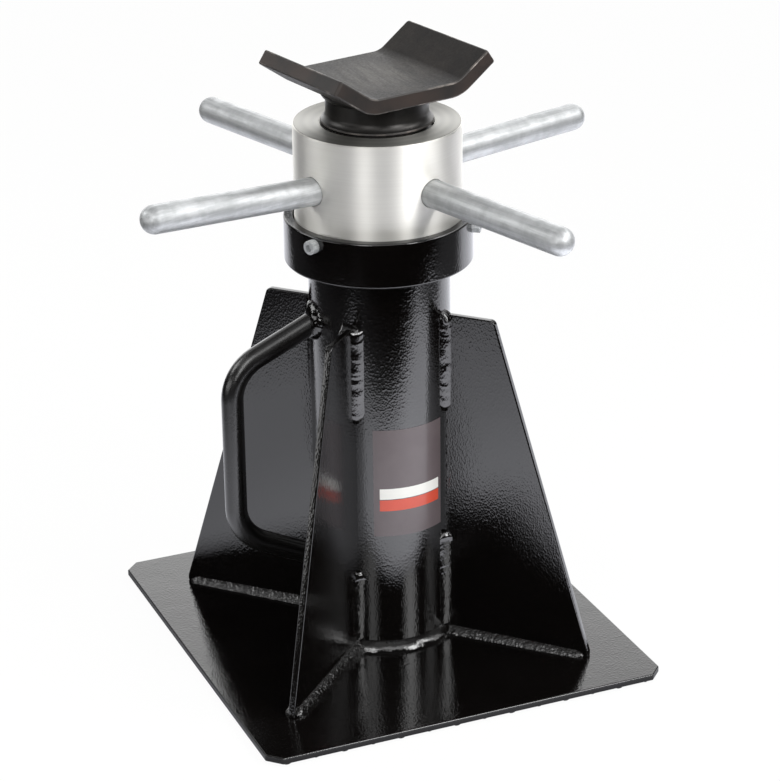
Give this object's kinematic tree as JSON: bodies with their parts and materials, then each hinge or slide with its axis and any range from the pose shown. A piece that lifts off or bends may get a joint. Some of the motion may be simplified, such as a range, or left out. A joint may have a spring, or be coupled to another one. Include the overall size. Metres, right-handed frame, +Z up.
{
  "type": "screw jack stand",
  "caption": "Welded support stand: base plate, gusseted column, carrying handle, and a turning nut with bars that raises a screw spindle under a bent saddle.",
  "frame": {"origin": "on the floor under the column's axis, at the middle of the base plate's lug plane", "axes": "+Z up along the column and spindle, +X along the plate's front edge, the carrying handle on the -X side"},
  "size_m": [0.3832, 0.3814, 0.4487],
  "materials": {
    "black_paint": "gloss black enamel with a slight orange peel",
    "zinc_plate": "zinc plated, blotchy",
    "bronze": "machined, greased",
    "bright_steel": "turned bright",
    "dark_steel": "black oxide, oiled",
    "saddle_steel": "matt mill scale, worn at the edges"
  },
  "bodies": {
    "stand": {"base_plate": "black_paint", "column_tube": "black_paint", "gusset_far": "black_paint", "gusset_left": "black_paint", "gusset_near": "black_paint", "gusset_right": "black_paint", "carry_handle": "black_paint", "handle_welds": "black_paint", "column_foot_weld": "black_paint", "gusset_foot_welds": "black_paint", "gusset_column_welds": "black_paint", "collar_cup": "black_paint", "collar_weld": "black_paint", "retaining_screws": "zinc_plate", "thrust_washer": "bronze"},
    "nut": {"lift_nut": "bright_steel", "bar_back_right": "zinc_plate", "bar_back_left": "zinc_plate", "bar_front_left": "zinc_plate", "bar_front_right": "zinc_plate"},
    "spindle": {"spindle": "dark_steel", "saddle": "saddle_steel", "saddle_weld": "dark_steel", "stop_washer": "zinc_plate", "lock_washer": "zinc_plate", "stop_bolt": "zinc_plate"}
  },
  "joints": [
    {"name": "nut_turn", "type": "hinge", "parent": "stand", "child": "nut", "pos_m": [0, 0, 0.3555], "axis": [0, 0, -1], "range_deg": [0, 8280]},
    {"name": "spindle_lift", "type": "slide", "parent": "stand", "child": "spindle", "axis": [0, 0, 1], "range_m": [0, 0.23]}
  ],
  "couplings": [
    {"joint": "spindle_lift", "follows": "nut_turn", "m_per_rad": 0.0015915}
  ]
}
